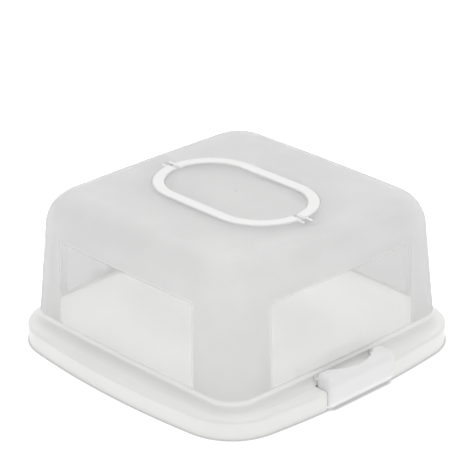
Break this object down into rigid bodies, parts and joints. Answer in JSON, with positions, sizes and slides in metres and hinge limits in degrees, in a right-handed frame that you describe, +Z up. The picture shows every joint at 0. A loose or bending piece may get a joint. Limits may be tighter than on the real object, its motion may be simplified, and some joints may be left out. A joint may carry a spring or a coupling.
{
  "type": "cake box",
  "caption": "Square cake box: white tray, translucent lift-off hood with clear sides, hinged side latches and a folding oval handle in the hood's top.",
  "frame": {"origin": "on the table under the middle of the tray", "axes": "+Z up, +X out through the right latch and along the handle's long axis, +Y towards the back"},
  "size_m": [0.339, 0.3298, 0.1549],
  "materials": {
    "white_plastic": "satin white",
    "translucent_plastic": "frosted corners and top, clear sides",
    "handle_plastic": "satin white",
    "latch_plastic": "satin white"
  },
  "bodies": {
    "base": {"base_tray": "white_plastic"},
    "cover": {"hood": "translucent_plastic"},
    "front_bail": {"front_handle_half": "handle_plastic"},
    "rear_bail": {"rear_handle_half": "handle_plastic"},
    "right_catch": {"right_latch": "latch_plastic"},
    "left_catch": {"left_latch": "latch_plastic"}
  },
  "joints": [
    {"name": "hood_lift", "type": "slide", "parent": "base", "child": "cover", "axis": [0, 0, 1], "range_m": [0, 0.16]},
    {"name": "front_handle_hinge", "type": "hinge", "parent": "cover", "child": "front_bail", "pos_m": [0, -0.0047, 0.1514], "axis": [-1, 0, 0], "range_deg": [0, 90]},
    {"name": "rear_handle_hinge", "type": "hinge", "parent": "cover", "child": "rear_bail", "pos_m": [0, 0.0047, 0.1514], "axis": [1, 0, 0], "range_deg": [0, 90]},
    {"name": "right_latch_hinge", "type": "hinge", "parent": "base", "child": "right_catch", "pos_m": [0.1595, 0, 0.0105], "axis": [0, 1, 0], "range_deg": [0, 90]},
    {"name": "left_latch_hinge", "type": "hinge", "parent": "base", "child": "left_catch", "pos_m": [-0.1595, 0, 0.0105], "axis": [0, -1, 0], "range_deg": [0, 90]}
  ]
}
